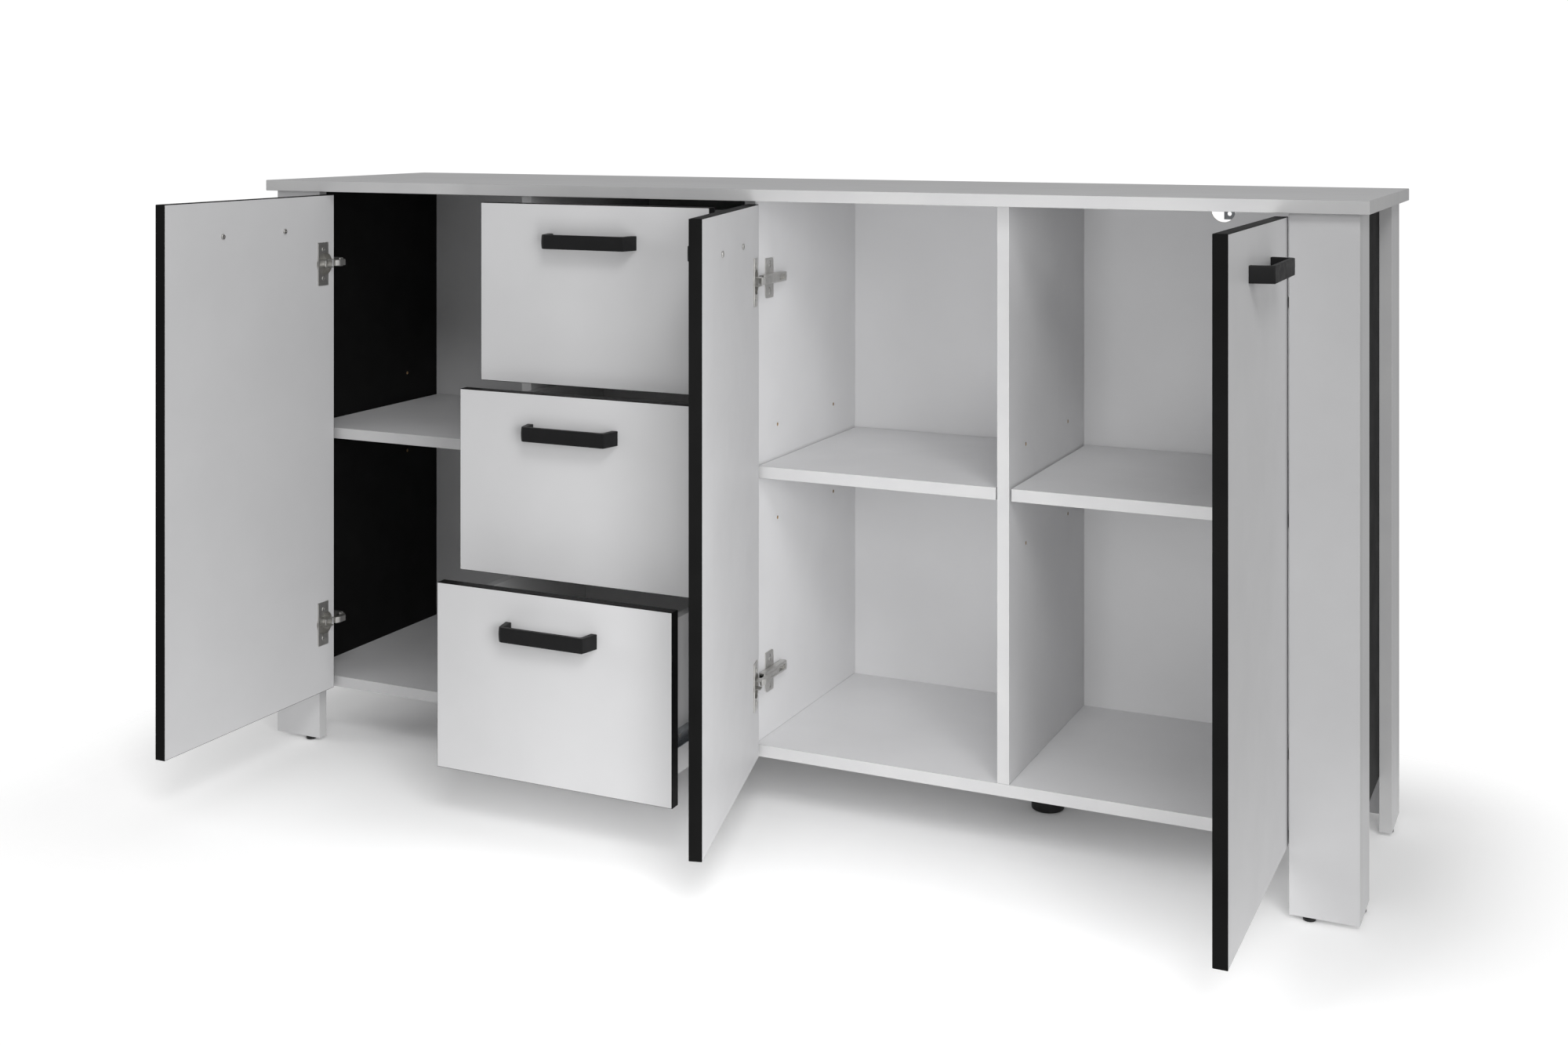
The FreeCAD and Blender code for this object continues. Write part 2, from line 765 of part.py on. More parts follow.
bracket_low = f"({top_under} - bracket_drop)"
brackets = []
for side in (-1, 1):
    middle = f"({side}*({outer_bay_centre} + bracket_offset))"
    angle = fused("bracket_angle", [
        box("bracket_leg", ("bracket_width", "bracket_thickness", "bracket_drop"),
            (f"{middle} - bracket_width/2", f"{leg_rear} - bracket_thickness", bracket_low)),
        box("bracket_tab", ("bracket_width", "board_thickness", "bracket_thickness"),
            (f"{middle} - bracket_width/2", back_rear, f"{top_under} - bracket_thickness")),
    ])
    wall_hole = cylinder("bracket_wall_hole", "bracket_hole", "bracket_thickness",
                         (middle, f"{leg_rear} - bracket_thickness", f"{bracket_low} + bracket_hole_lift"), "Y")
    top_hole = cylinder("bracket_top_hole", "screw_diameter", "bracket_thickness",
                        (middle, f"{back_rear} + board_thickness/2", f"{top_under} - bracket_thickness"))
    brackets.append(cut("bracket", angle, [wall_hole, top_hole]))
node("wall_brackets", group("bracket_pair", brackets))

dowel_rows = (f"({carcass_front} + dowel_inset)", f"({carcass_rear} - dowel_inset)")
uprights = [f"(-{column})", "0", column]
panel_centres = [f"(-{panel_inner} - board_thickness/2)", f"({panel_inner} + board_thickness/2)"]
dowels = []
for y in dowel_rows:
    for x in uprights:
        dowels.append(cylinder("foot_dowel", "dowel_diameter", "dowel_length",
                               (x, y, f"{bottom_top} - dowel_length/3")))
    for x in uprights + panel_centres:
        dowels.append(cylinder("head_dowel", "dowel_diameter", "dowel_length",
                               (x, y, f"{top_under} - 2*dowel_length/3")))
    for x in (f"(-{panel_inner} - dowel_length/3)", f"({panel_inner} - 2*dowel_length/3)"):
        dowels.append(cylinder("end_dowel", "dowel_diameter", "dowel_length",
                               (x, y, "underside_height + board_thickness/2"), "X"))
node("carcass_dowels", group("dowels", dowels))

NAILS_PER_UPRIGHT = 5
NAILS_PER_BAY = 2
nail_spots = []
for x in uprights:
    for step in range(NAILS_PER_UPRIGHT):
        part_way = f"{step}/{NAILS_PER_UPRIGHT - 1}*({upright_height} - 2*nail_inset)"
        nail_spots.append((x, f"{bottom_top} + nail_inset + {part_way}"))
for bay in range(4):
    for step in range(1, NAILS_PER_BAY + 1):
        nail_spots.append((f"-{leg_inner} + ({bay} + {step}/{NAILS_PER_BAY + 1})*{column}",
                           "underside_height + board_thickness/2"))
nails = []
for x, z in nail_spots:
    nails.append(fused("nail", [
        cylinder("nail_shank", "nail_diameter", "nail_length", (x, f"{back_rear} - nail_length", z), "Y"),
        cylinder("nail_head", "nail_head_diameter", "nail_head_height", (x, back_rear, z), "Y"),
    ]))
node("back_panel_nails", group("nails", nails))

# ---------------------------------------------------------------- build, check and save

doc.recompute()
for item in doc.Objects:
    if "Invalid" in item.State or "Error" in item.State:
        raise RuntimeError(f"{item.Label} did not build: {item.State}")
for piece in nodes:
    if piece.Shape.isNull() or not piece.Shape.isValid():
        raise RuntimeError(f"{piece.Label} has a faulty shape")
    piece.Shape.exportStep(f"parts/{piece.Label}.step")
print(f"{len(nodes)} nodes saved")
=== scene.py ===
import json
import math

import bmesh
import bpy
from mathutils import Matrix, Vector

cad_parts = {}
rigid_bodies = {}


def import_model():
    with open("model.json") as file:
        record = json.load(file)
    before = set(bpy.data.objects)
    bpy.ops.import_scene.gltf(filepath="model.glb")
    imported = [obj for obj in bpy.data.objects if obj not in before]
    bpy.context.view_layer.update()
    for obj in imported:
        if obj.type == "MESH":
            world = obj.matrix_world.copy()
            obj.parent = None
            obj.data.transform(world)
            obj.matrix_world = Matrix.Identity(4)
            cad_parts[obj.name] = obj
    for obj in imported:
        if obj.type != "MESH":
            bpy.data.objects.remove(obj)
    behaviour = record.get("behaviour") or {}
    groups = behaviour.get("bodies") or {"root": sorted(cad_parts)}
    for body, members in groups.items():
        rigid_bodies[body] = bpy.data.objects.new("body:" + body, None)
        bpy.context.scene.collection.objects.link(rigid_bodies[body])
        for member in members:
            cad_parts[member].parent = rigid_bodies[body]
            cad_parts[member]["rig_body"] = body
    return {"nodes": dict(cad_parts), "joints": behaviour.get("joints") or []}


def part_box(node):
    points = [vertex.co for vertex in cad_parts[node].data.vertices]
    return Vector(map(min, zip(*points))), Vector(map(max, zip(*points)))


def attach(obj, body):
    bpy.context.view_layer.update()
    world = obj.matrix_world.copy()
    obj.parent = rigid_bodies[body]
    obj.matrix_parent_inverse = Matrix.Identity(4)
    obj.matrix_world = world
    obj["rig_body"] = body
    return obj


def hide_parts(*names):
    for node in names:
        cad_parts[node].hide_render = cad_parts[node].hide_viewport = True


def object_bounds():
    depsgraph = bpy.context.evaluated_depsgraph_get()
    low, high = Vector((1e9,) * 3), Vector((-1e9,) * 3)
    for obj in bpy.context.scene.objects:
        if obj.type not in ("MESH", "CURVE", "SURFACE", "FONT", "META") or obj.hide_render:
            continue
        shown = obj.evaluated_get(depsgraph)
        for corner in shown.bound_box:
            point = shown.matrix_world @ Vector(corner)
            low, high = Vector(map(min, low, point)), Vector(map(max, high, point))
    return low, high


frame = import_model()
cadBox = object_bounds()
joints = {joint["name"]: joint for joint in frame["joints"]}
mm = 0.001
print("frame loaded:", len(frame["nodes"]), "nodes")

# small tools: every length is in millimetres unless it comes straight from the frame


def linear(code):
    # sRGB hex to the linear colour a shader wants
    channels = [int(code[i:i + 2], 16) / 255 for i in (1, 3, 5)]
    return tuple(c / 12.92 if c <= 0.04045 else ((c + 0.055) / 1.055) ** 2.4 for c in channels) + (1.0,)


def boxOf(node):
    low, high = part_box(node)
    return [v / mm for v in low], [v / mm for v in high]


def deselectAll():
    bpy.ops.object.select_all(action="DESELECT")


def pick(*pieces):
    deselectAll()
    for piece in pieces:
        piece.select_set(True)
    bpy.context.view_layer.objects.active = pieces[0]
    return pieces[0]


def applyPlace(piece):
    pick(piece)
    bpy.ops.object.transform_apply(location=True, rotation=True, scale=True)
    return piece


def applyModifier(piece, kind, **settings):
    pick(piece)
    modifier = piece.modifiers.new(kind.lower(), kind)
    for key, value in settings.items():
        setattr(modifier, key, value)
    bpy.ops.object.modifier_apply(modifier=modifier.name)
    return piece


def faceOutwards(piece):
    pick(piece)
    bpy.ops.object.mode_set(mode="EDIT")
    bpy.ops.mesh.select_all(action="SELECT")
    bpy.ops.mesh.remove_doubles(threshold=0.000002)
    bpy.ops.mesh.normals_make_consistent(inside=False)
    bpy.ops.object.mode_set(mode="OBJECT")
    return piece


def block(low, high, finish, softness=0.0, steps=2):
    # a box between two corners, with every edge softened by hand
    deselectAll()
    centre = [(a + b) / 2 * mm for a, b in zip(low, high)]
    bpy.ops.mesh.primitive_cube_add(size=1, location=centre)
    piece = bpy.context.object
    piece.scale = [(b - a) * mm for a, b in zip(low, high)]
    applyPlace(piece)
    if softness:
        bpy.ops.object.mode_set(mode="EDIT")
        bpy.ops.mesh.select_all(action="SELECT")
        bpy.ops.mesh.bevel(offset=softness * mm, segments=steps, affect="EDGES", clamp_overlap=True)
        bpy.ops.object.mode_set(mode="OBJECT")
    piece.data.materials.append(finish)
    return piece


def disc(centre, radius, length, axis, finish, sides=40, softness=0.0, steps=2):
    # a round bar from one end's centre along +X, +Y or +Z
    deselectAll()
    turn = {"X": (0, math.pi / 2, 0), "Y": (math.pi / 2, 0, 0), "Z": (0, 0, 0)}[axis]
    middle = list(centre)
    middle["XYZ".index(axis)] += length / 2
    bpy.ops.mesh.primitive_cylinder_add(vertices=sides, radius=radius * mm, depth=length * mm,
                                        location=[v * mm for v in middle], rotation=turn)
    piece = applyPlace(bpy.context.object)
    piece.data.materials.append(finish)
    if softness:
        applyModifier(piece, "BEVEL", width=softness * mm, segments=steps, limit_method="ANGLE",
                      angle_limit=math.radians(60))
    return piece


def profile(outline, start, length, axis, finish, softness=0.0, bends=(), steps=2):
    # an outline drawn in the plane across the axis, extruded along it; bends are (corner, radius)
    deselectAll()
    bpy.ops.mesh.primitive_circle_add(vertices=len(outline), radius=0.01, fill_type="NGON")
    piece = bpy.context.object
    place = {"X": lambda u, v: (start, u, v), "Y": lambda u, v: (u, start, v),
             "Z": lambda u, v: (u, v, start)}[axis]
    way = {"X": (1, 0, 0), "Y": (0, 1, 0), "Z": (0, 0, 1)}[axis]
    for vertex, (u, v) in zip(piece.data.vertices, outline):
        vertex.co = Vector(place(u, v)) * mm
    bpy.ops.object.mode_set(mode="EDIT")
    bpy.ops.mesh.select_all(action="SELECT")
    bpy.ops.mesh.extrude_region_move(TRANSFORM_OT_translate={"value": [w * length * mm for w in way]})
    bpy.ops.object.mode_set(mode="OBJECT")
    faceOutwards(piece)
    for (u, v), radius in bends:
        spot = Vector(place(u, v)) * mm
        bendEdge(piece, spot, way, radius)
    piece.data.materials.append(finish)
    if softness:
        applyModifier(piece, "BEVEL", width=softness * mm, segments=steps, limit_method="ANGLE",
                      angle_limit=math.radians(40))
    return piece


def bendEdge(piece, spot, way, radius, steps=7):
    # rounds the one long edge that passes through the spot along the given way
    pick(piece)
    bpy.ops.object.mode_set(mode="EDIT")
    bpy.ops.mesh.select_all(action="DESELECT")
    mesh = bmesh.from_edit_mesh(piece.data)
    along = Vector(way)
    for edge in mesh.edges:
        ends = [v.co - spot for v in edge.verts]
        edge.select = all((e - along * e.dot(along)).length < 0.00005 for e in ends)
    bmesh.update_edit_mesh(piece.data)
    bpy.ops.mesh.bevel(offset=radius * mm, segments=steps, affect="EDGES", clamp_overlap=True)
    bpy.ops.object.mode_set(mode="OBJECT")


def weld(*pieces):
    pick(*pieces)
    if len(pieces) > 1:
        bpy.ops.object.join()
    return bpy.context.object


def carve(piece, *cutters):
    # takes the cutters out of the piece; the cut keeps the cutter's finish
    cutter = weld(*cutters)
    applyModifier(piece, "BOOLEAN", operation="DIFFERENCE", solver="EXACT", object=cutter,
                  material_mode="TRANSFER", use_self=True)
    deselectAll()
    bpy.data.objects.remove(cutter)
    return piece


def twin(piece):
    # a copy with its own mesh
    copy = piece.copy()
    copy.data = piece.data.copy()
    bpy.context.scene.collection.objects.link(copy)
    return copy


def shelve(piece):
    # keeps a pattern to copy from, out of the scene
    for collection in list(piece.users_collection):
        collection.objects.unlink(piece)


def moved(piece, x=0, y=0, z=0):
    piece.location = (x * mm, y * mm, z * mm)
    return applyPlace(piece)


def finishPiece(piece, name, nodes, smoothAngle=32):
    applyPlace(piece)
    piece.name = piece.data.name = name
    pick(piece)
    bpy.ops.object.shade_smooth_by_angle(angle=math.radians(smoothAngle))
    applyModifier(piece, "WEIGHTED_NORMAL", keep_sharp=True, weight=100)
    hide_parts(*nodes)
    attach(piece, frame["nodes"][nodes[0]]["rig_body"])
    return piece


# finishes


def addNode(tree, kind, values=(), links=(), **settings):
    node = tree.nodes.new(kind)
    for key, value in settings.items():
        setattr(node, key, value)
    for socket, value in dict(values).items():
        node.inputs[socket].default_value = value
    for socket, source in dict(links).items():
        tree.links.new(source, node.inputs[socket])
    return node


def perMetre(size):
    # texture scale whose features are about this many millimetres
    return 1000 / size


def newFinish(name, **constants):
    finish = bpy.data.materials.new(name)
    finish.use_nodes = True
    tree = finish.node_tree
    shader = tree.nodes["Principled BSDF"]
    for socket, value in constants.items():
        shader.inputs[socket.replace("_", " ")].default_value = value
    place = addNode(tree, "ShaderNodeTexCoord").outputs["Object"]
    return finish, tree, shader, place


def mottle(tree, shader, place, colours, size, stretch=(1, 1, 1), detail=3.0, low=0.3, high=0.7):
    # a soft drift between two colours
    mapped = addNode(tree, "ShaderNodeMapping", {"Scale": stretch}, {"Vector": place}).outputs["Vector"]
    drift = addNode(tree, "ShaderNodeTexNoise", {"Scale": perMetre(size), "Detail": detail}, {"Vector": mapped})
    ramp = addNode(tree, "ShaderNodeValToRGB", links={"Fac": drift.outputs["Fac"]})
    ramp.color_ramp.elements[0].position, ramp.color_ramp.elements[1].position = low, high
    ramp.color_ramp.elements[0].color, ramp.color_ramp.elements[1].color = map(linear, colours)
    tree.links.new(ramp.outputs["Color"], shader.inputs["Base Color"])
    return drift, mapped


def roughen(tree, shader, vector, size, low, high, stretch=(1, 1, 1)):
    mapped = addNode(tree, "ShaderNodeMapping", {"Scale": stretch}, {"Vector": vector}).outputs["Vector"]
    patch = addNode(tree, "ShaderNodeTexNoise", {"Scale": perMetre(size), "Detail": 4.0}, {"Vector": mapped})
    band = addNode(tree, "ShaderNodeMapRange", {"From Min": 0.3, "From Max": 0.7, "To Min": low, "To Max": high},
                   {"Value": patch.outputs["Fac"]})
    tree.links.new(band.outputs["Result"], shader.inputs["Roughness"])
    return patch


def emboss(tree, shader, height, distance, strength):
    bump = addNode(tree, "ShaderNodeBump", {"Distance": distance * mm, "Strength": strength}, {"Height": height})
    tree.links.new(bump.outputs["Normal"], shader.inputs["Normal"])


# melamine-faced board: printed paper pressed with a fine pearl, so it has a satin gloss
melamine = {"pearl": 2.4, "drift": 120.0, "bump": 0.05}  # the real pearl is 0.5 mm, too fine to show


def melamineFinish(name, colours, roughness, strength=0.22, gloss=0.35):
    finish, tree, shader, place = newFinish(name, IOR=1.5, Specular_IOR_Level=gloss)
    mottle(tree, shader, place, colours, melamine["drift"])
    roughen(tree, shader, place, 45, roughness - 0.04, roughness + 0.05)
    pearl = addNode(tree, "ShaderNodeTexNoise", {"Scale": perMetre(melamine["pearl"]), "Detail": 2.0, "Roughness": 0.6},
                    {"Vector": place})
    emboss(tree, shader, pearl.outputs["Fac"], melamine["bump"], strength)
    return finish


# ABS edge band: extruded plastic strip, faint die lines along its length
def edgeBandFinish(name, colours, roughness, gloss=0.4):
    finish, tree, shader, place = newFinish(name, IOR=1.53, Specular_IOR_Level=gloss)
    mottle(tree, shader, place, colours, 60)
    lines = roughen(tree, shader, place, 3, roughness - 0.05, roughness + 0.06, (1, 1, 0.05))
    emboss(tree, shader, lines.outputs["Fac"], 0.03, 0.25)
    return finish


# die-cast handle with a matt powder coat: orange peel about 0.7 mm across
def powderCoatFinish():
    finish, tree, shader, place = newFinish("powderCoatedZinc", IOR=1.5, Specular_IOR_Level=0.3)
    mottle(tree, shader, place, ("#0F0F10", "#131314"), 25)
    roughen(tree, shader, place, 12, 0.46, 0.6)
    peel = addNode(tree, "ShaderNodeTexVoronoi", {"Scale": perMetre(1.2), "Smoothness": 0.6}, {"Vector": place},
                   feature="SMOOTH_F1")
    emboss(tree, shader, peel.outputs["Distance"], 0.05, 0.4)
    return finish


# bright nickel over pressed steel: fine drawing marks one way
def platedFinish(name, colours, roughness, grain, stretch):
    finish, tree, shader, place = newFinish(name, Metallic=1.0)
    mottle(tree, shader, place, colours, 14, detail=5.0)
    marks = roughen(tree, shader, place, grain, roughness - 0.06, roughness + 0.1, stretch)
    emboss(tree, shader, marks.outputs["Fac"], 0.02, 0.35)
    return finish


# injection-moulded polypropylene: slightly waxy, lightly spark-eroded grain
def mouldedFinish():
    finish, tree, shader, place = newFinish("mouldedPolypropylene", IOR=1.49, Specular_IOR_Level=0.4)
    mottle(tree, shader, place, ("#131313", "#1B1B1C"), 18)
    grain = roughen(tree, shader, place, 1.4, 0.42, 0.6)
    emboss(tree, shader, grain.outputs["Fac"], 0.05, 0.4)
    return finish


# raw chipboard inside drilled holes: pressed flakes
def chipboardFinish():
    finish, tree, shader, place = newFinish("rawChipboard", Roughness=0.9)
    drift, mapped = mottle(tree, shader, place, ("#7E6648", "#C0A47C"), 2.0, detail=6.0)
    emboss(tree, shader, drift.outputs["Fac"], 0.2, 0.6)
    return finish


# beech dowel: straight fine grain with short darker flecks along it
def beechFinish():
    finish, tree, shader, place = newFinish("turnedBeech", Roughness=0.6)
    drift, mapped = mottle(tree, shader, place, ("#C9A172", "#E0BE92"), 1.5, (1, 1, 0.12), 6.0)
    emboss(tree, shader, drift.outputs["Fac"], 0.05, 0.4)
    return finish


lightBoard = melamineFinish("lightGreyMelamine", ("#DCDCDD", "#E0E0E1"), 0.46)
# painted shade: the legs are most likely the same light grey board as the rest, and this darker copy of it stands in
# for the shade on them
shadedLegBoard = melamineFinish("lightGreyLegMelaminePaintedShade", ("#CACACB", "#CFCFD0"), 0.46)
frontBoard = melamineFinish("lightGreyFrontMelamine", ("#CFCFD0", "#D3D3D4"), 0.44)
drawerBoard = melamineFinish("whiteDrawerMelamine", ("#DCDCDC", "#E0E0E0"), 0.5)
darkBoard = melamineFinish("blackMelamine", ("#080808", "#0B0B0B"), 0.6, 0.3, 0.15)
hardboard = melamineFinish("paintedHardboard", ("#DADADB", "#DEDEDF"), 0.58, 0.3)
lightBand = edgeBandFinish("lightGreyEdgeBand", ("#C2C2C3", "#C7C7C7"), 0.4)
darkBand = edgeBandFinish("blackEdgeBand", ("#101010", "#141414"), 0.5, 0.06)
blackCoat = powderCoatFinish()
nickel = platedFinish("nickelPlatedSteel", ("#C8C7C4", "#DAD9D6"), 0.42, 0.9, (1, 1, 0.2))
zinc = platedFinish("zincPlatedSteel", ("#A3A7AB", "#BDC0C3"), 0.36, 1.1, (1, 0.1, 1))
blackPlastic = mouldedFinish()
chipboard = chipboardFinish()
beech = beechFinish()
print("finishes made:", len(bpy.data.materials))

# boards of the carcass

boards = {"edgeRadius": 0.7, "holeSides": 24}


def board(low, high, thin, faces, edges, radius=None):
    # a faced board whose edges are banded all round; thin is the axis across its thickness
    piece = block(low, high, faces, boards["edgeRadius"] if radius is None else radius)
    piece.data.materials.append(edges)
    across = "XYZ".index(thin)
    for face in piece.data.polygons:
        face.material_index = 0 if abs(face.normal[across]) > 0.95 else 1
    return piece


pinHoles = {"fromFront": 70, "fromRear": 82, "pitch": 64, "radius": 2.5, "depth": 8}
pinLow, pinHigh = boxOf("shelf_pins")
pinCentre = (pinLow[2] + pinHigh[2]) / 2
carcassLow, carcassHigh = boxOf("left_partition")
pinRows = (carcassLow[1] + pinHoles["fromFront"], carcassHigh[1] - pinHoles["fromRear"])


def holesInFace(face, inward):
    start = face if inward > 0 else face - pinHoles["depth"]
    return [disc((start - 0.5 if inward > 0 else start + 0.5, row, pinCentre + step * pinHoles["pitch"]),
                 pinHoles["radius"], pinHoles["depth"], "X", chipboard, boards["holeSides"])
            for row in pinRows for step in (-1, 0, 1)]


plainBoards = {
    "top_board": ("Z", lightBoard, lightBand, "grey_board", 0.9),
    "bottom_board": ("Z", lightBoard, lightBand, "grey_board", None),
    "left_shelf": ("Z", lightBoard, lightBand, "grey_board", None),
    "middle_shelf": ("Z", lightBoard, lightBand, "grey_board", None),
    "right_shelf": ("Z", lightBoard, lightBand, "grey_board", None),
}


def camel(node):
    first, *rest = node.split("_")
    return first + "".join(word.capitalize() for word in rest)


for node, (thin, faces, edges, slot, radius) in plainBoards.items():
    finishPiece(board(*boxOf(node), thin, faces, edges, radius), camel(node), [node])

uprights = {
    "left_side_panel": (darkBoard, darkBand, "black_board", (False, True)),
    "right_side_panel": (darkBoard, darkBand, "black_board", (True, False)),
    "left_partition": (lightBoard, lightBand, "grey_board", (True, False)),
    "middle_partition": (lightBoard, lightBand, "grey_board", (False, True)),
    "right_partition": (lightBoard, lightBand, "grey_board", (True, True)),
}
for node, (faces, edges, slot, drilled) in uprights.items():
    low, high = boxOf(node)
    piece = board(low, high, "X", faces, edges)
    holes = (holesInFace(low[0], 1) if drilled[0] else []) + (holesInFace(high[0], -1) if drilled[1] else [])
    finishPiece(carve(piece, *holes), camel(node), [node])

# back panel: thin hardboard, notched at its top edge where the wall brackets are reached
notch = {"radius": 17, "bays": ("left_shelf", "right_shelf")}
low, high = boxOf("back_panel")
backPanel = board(low, high, "Y", hardboard, hardboard, 0.3)
cutters = []
for bay in notch["bays"]:
    bayLow, bayHigh = boxOf(bay)
    centre = (bayLow[0] + bayHigh[0]) / 2
    level = high[2] - notch["radius"]
    cutters.append(disc((centre, low[1] - 2, level), notch["radius"], 8, "Y", chipboard, 56))
    cutters.append(block((centre - notch["radius"], low[1] - 2, level),
                         (centre + notch["radius"], high[1] + 3, high[2] + 2), chipboard))
carve(backPanel, *cutters)
finishPiece(backPanel, "backPanel", ["back_panel"])
print("carcass boards done")

# legs: two boards meeting at a right angle, the joint shows as a fine line
thickness = boxOf("top_board")[1][2] - boxOf("top_board")[0][2]
for node in ("front_left_leg", "front_right_leg", "rear_left_leg", "rear_right_leg"):
    low, high = boxOf(node)
    front, left = "front" in node, "left" in node
    faceLow, faceHigh = list(low), list(high)
    sideLow, sideHigh = list(low), list(high)
    if front:
        faceHigh[1] = low[1] + thickness
        sideLow[1] = low[1] + thickness
    else:
        faceLow[1] = high[1] - thickness
        sideHigh[1] = high[1] - thickness
    if left:
        sideHigh[0] = low[0] + thickness
    else:
        sideLow[0] = high[0] - thickness
    leg = weld(board(faceLow, faceHigh, "Y", shadedLegBoard, lightBand), board(sideLow, sideHigh, "X", shadedLegBoard, lightBand))
    finishPiece(leg, camel(node), [node])

# glides and centre feet
glide = {"radius": 7.5, "height": 5, "inset": 22}
low, high = boxOf("front_left_leg")
farCorner = boxOf("rear_right_leg")[1]
glides = []
inset = glide["inset"]
for x0, inwardX in ((low[0], 1), (farCorner[0], -1)):
    for y0, inwardY in ((low[1], 1), (farCorner[1], -1)):
        width = high[0] - low[0]
        spots = ((x0 + inwardX * (width - inset), y0 + inwardY * thickness / 2),
                 (x0 + inwardX * thickness / 2, y0 + inwardY * (width - inset)))
        for x, y in spots:
            base = disc((x, y, 0), glide["radius"], glide["height"] - 1.2, "Z", blackPlastic, 36, 0.9, 3)
            collar = disc((x, y, glide["height"] - 1.3), glide["radius"] - 1.6, 1.3, "Z", blackPlastic, 36, 0.3)
            glides.append(weld(base, collar))
finishPiece(weld(*glides), "legGlides", ["leg_glides"])

foot = {"base": 22, "baseHeight": 12, "stem": 15, "plate": 30, "plateHeight": 4, "ribs": 10}
feet = []
footLow, footHigh = boxOf("centre_feet")
for x in (footLow[0] + foot["plate"], footHigh[0] - foot["plate"]):
    y = (footLow[1] + footHigh[1]) / 2
    parts = [disc((x, y, 0), foot["base"], foot["baseHeight"], "Z", blackPlastic, 56, 2.0, 4),
             disc((x, y, foot["baseHeight"] - 1), foot["stem"],
                  footHigh[2] - foot["baseHeight"] - foot["plateHeight"] + 2, "Z", blackPlastic, 48),
             disc((x, y, footHigh[2] - foot["plateHeight"]), foot["plate"], foot["plateHeight"], "Z",
                  blackPlastic, 56, 0.8, 2)]
    for step in range(foot["ribs"]):  # grips round the adjustable base
        turn = 2 * math.pi * step / foot["ribs"]
        rib = block((foot["base"] - 1.6, -1.4, 1.5), (foot["base"], 1.4, foot["baseHeight"] - 2),
                    blackPlastic, 0.5)
        rib.rotation_euler = (0, 0, turn)
        parts.append(moved(rib, x, y))
    for step in range(4):  # webs under the fixing plate
        turn = math.pi / 2 * step + math.pi / 4
        web = profile([(foot["stem"] - 2, 0), (foot["stem"] + 10, 0), (foot["stem"] - 2, -16)],
                      -1, 2, "Y", blackPlastic, 0.3)
        web.rotation_euler = (0, 0, turn)
        parts.append(moved(web, x, y, footHigh[2] - foot["plateHeight"] + 0.3))
    feet.append(weld(*parts))
finishPiece(weld(*feet), "centreFeet", ["centre_feet"])

pins = []
spots = []
for bay in ("left_shelf", "middle_shelf", "right_shelf"):
    bayLow, bayHigh = boxOf(bay)
    spots += [(bayLow[0] - 2, 1), (bayHigh[0] + 2, -1)]
for wall, sense in spots:  # steel pin with a collar against the upright
    for row in pinRows:
        pin = disc((wall - 7, row, pinCentre), 2.45, 14, "X", nickel, 24, 0.5, 2)
        collarStart = wall if sense > 0 else wall - 1.2
        pins.append(weld(pin, disc((collarStart, row, pinCentre), 2.45, 1.2, "X", nickel, 24, 0.2)))
finishPiece(weld(*pins), "shelfPins", ["shelf_pins"])
print("legs, glides, feet and pins done")

# screws: pan head with a cross recess, modelled once
screw = {"head": 3.8, "headHeight": 2.4, "shank": 2.0, "arm": 1.1, "reach": 2.3, "recess": 1.3}


def panScrew(head, height, shank, length, finish):
    # head rises along +Y from the origin, shank goes the other way
    top = disc((0, 0, 0), head, height, "Y", finish, 32, height * 0.55, 4)
    arm, reach = head * screw["arm"] / screw["head"] / 2, head * screw["reach"] / screw["head"]
    cross = [block((-reach, height - screw["recess"], -arm), (reach, height + 1, arm), finish),
             block((-arm, height - screw["recess"], -reach), (arm, height + 1, reach), finish)]
    carve(top, cross[0])
    carve(top, cross[1])
    return weld(top, disc((0, -length, 0), shank, length + 0.2, "Y", finish, 20))


handleScrew = panScrew(screw["head"], screw["headHeight"], screw["shank"], 24, nickel)
hingeScrew = panScrew(3.4, 1.0, 1.6, 6, nickel)
for pattern in (handleScrew, hingeScrew):
    shelve(pattern)


def copyOf(pattern, x, y, z, turn=(0, 0, 0)):
    piece = twin(pattern)
    piece.rotation_euler = turn
    return moved(piece, x, y, z)


# bar handle: flat bar whose ends bend back to the front and swell a little outwards
handle = {"length": 137, "height": 19, "projection": 27, "bar": 6, "foot": 9, "flare": 5.5,
          "bend": 5.7, "innerBend": 3.5, "swell": 0.9, "edge": 0.8, "spacing": 128}


